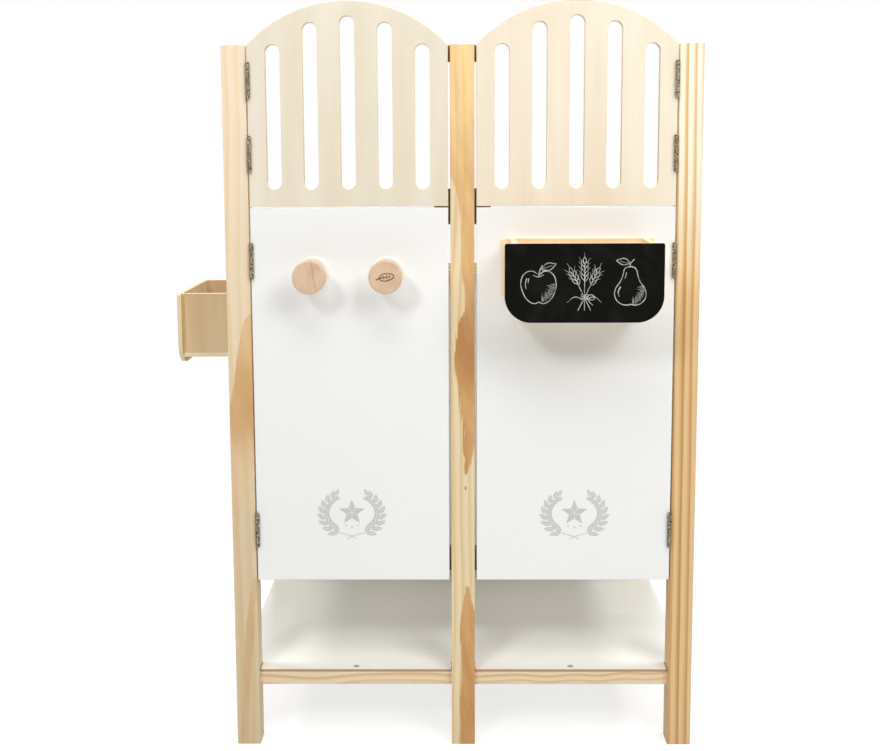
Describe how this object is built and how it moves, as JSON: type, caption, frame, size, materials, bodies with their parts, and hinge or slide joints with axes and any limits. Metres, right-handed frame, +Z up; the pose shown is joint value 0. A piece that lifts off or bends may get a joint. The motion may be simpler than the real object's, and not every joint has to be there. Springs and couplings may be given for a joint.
{
  "type": "toy horse stable",
  "caption": "Wooden toy stable with two stalls, arched slotted upper doors over plain lower doors, bridle pegs and open feed boxes.",
  "frame": {"origin": "centre of the foot of the front middle post, on the floor", "axes": "+Z up, +Y from the doors to the back, +X to the right of someone facing the doors"},
  "size_m": [0.785, 0.525, 1.112],
  "materials": {
    "pine": "clear satin lacquer, visible grain",
    "door_plywood": "clear satin lacquer, fine pale grain",
    "white_board": "white satin paint",
    "box_plywood": "clear satin lacquer",
    "chalkboard": "matt black chalkboard paint",
    "peg_wood": "turned beech, satin lacquer",
    "dowel_wood": "bare beech",
    "hinge_metal": "dull antique plating",
    "plated_steel": "zinc plated",
    "brown_plastic": "moulded, matt",
    "magnet_metal": "nickel plated"
  },
  "bodies": {
    "frame": {"back_panel_left": "white_board", "back_panel_right": "white_board", "back_post_left": "pine", "back_post_middle": "pine", "back_post_right": "pine", "back_rail_left": "pine", "back_rail_right": "pine", "back_top_rail_left": "pine", "back_top_rail_right": "pine", "catch_housings": "brown_plastic", "catch_magnets": "magnet_metal", "floor_board": "white_board", "floor_screws": "plated_steel", "frame_dowels": "dowel_wood", "frame_screws": "plated_steel", "front_post_left": "pine", "front_post_middle": "pine", "front_post_right": "pine", "front_rail_left": "pine", "front_rail_right": "pine", "hinge_frame_leaves": "hinge_metal", "hinge_frame_screws": "plated_steel", "hinge_pins": "hinge_metal", "panel_screws": "plated_steel", "partition": "white_board", "side_box_back": "box_plywood", "side_box_bottom": "box_plywood", "side_box_front": "chalkboard", "side_box_screws": "plated_steel", "side_box_walls": "box_plywood", "side_panel_left": "white_board", "side_panel_right": "white_board", "side_rail_left": "pine", "side_rail_right": "pine", "side_top_rail_left": "pine", "side_top_rail_right": "pine"},
    "upper_left_door": {"upper_left_door_hinge_leaves": "hinge_metal", "upper_left_door_hinge_screws": "plated_steel", "upper_left_door_panel": "door_plywood", "upper_left_door_strike_plates": "plated_steel"},
    "upper_right_door": {"upper_right_door_hinge_leaves": "hinge_metal", "upper_right_door_hinge_screws": "plated_steel", "upper_right_door_panel": "door_plywood", "upper_right_door_strike_plates": "plated_steel"},
    "lower_left_door": {"lower_left_door_hinge_leaves": "hinge_metal", "lower_left_door_hinge_screws": "plated_steel", "lower_left_door_panel": "white_board", "lower_left_door_strike_plates": "plated_steel", "bridle_peg_left": "peg_wood", "bridle_peg_right": "peg_wood", "bridle_peg_screws": "plated_steel"},
    "lower_right_door": {"lower_right_door_hinge_leaves": "hinge_metal", "lower_right_door_hinge_screws": "plated_steel", "lower_right_door_panel": "white_board", "lower_right_door_strike_plates": "plated_steel", "door_box_back": "box_plywood", "door_box_bottom": "box_plywood", "door_box_front": "chalkboard", "door_box_screws": "plated_steel", "door_box_walls": "box_plywood"}
  },
  "joints": [
    {"name": "upper_left_door_hinge", "type": "hinge", "parent": "frame", "child": "upper_left_door", "pos_m": [-0.3067, -0.0207, 0.9475], "axis": [0, 0, -1], "range_deg": [0, 180]},
    {"name": "upper_right_door_hinge", "type": "hinge", "parent": "frame", "child": "upper_right_door", "pos_m": [0.3067, -0.0207, 0.9475], "axis": [0, 0, 1], "range_deg": [0, 180]},
    {"name": "lower_left_door_hinge", "type": "hinge", "parent": "frame", "child": "lower_left_door", "pos_m": [-0.3067, -0.0207, 0.539], "axis": [0, 0, -1], "range_deg": [0, 180]},
    {"name": "lower_right_door_hinge", "type": "hinge", "parent": "frame", "child": "lower_right_door", "pos_m": [0.3067, -0.0207, 0.539], "axis": [0, 0, 1], "range_deg": [0, 173]}
  ]
}
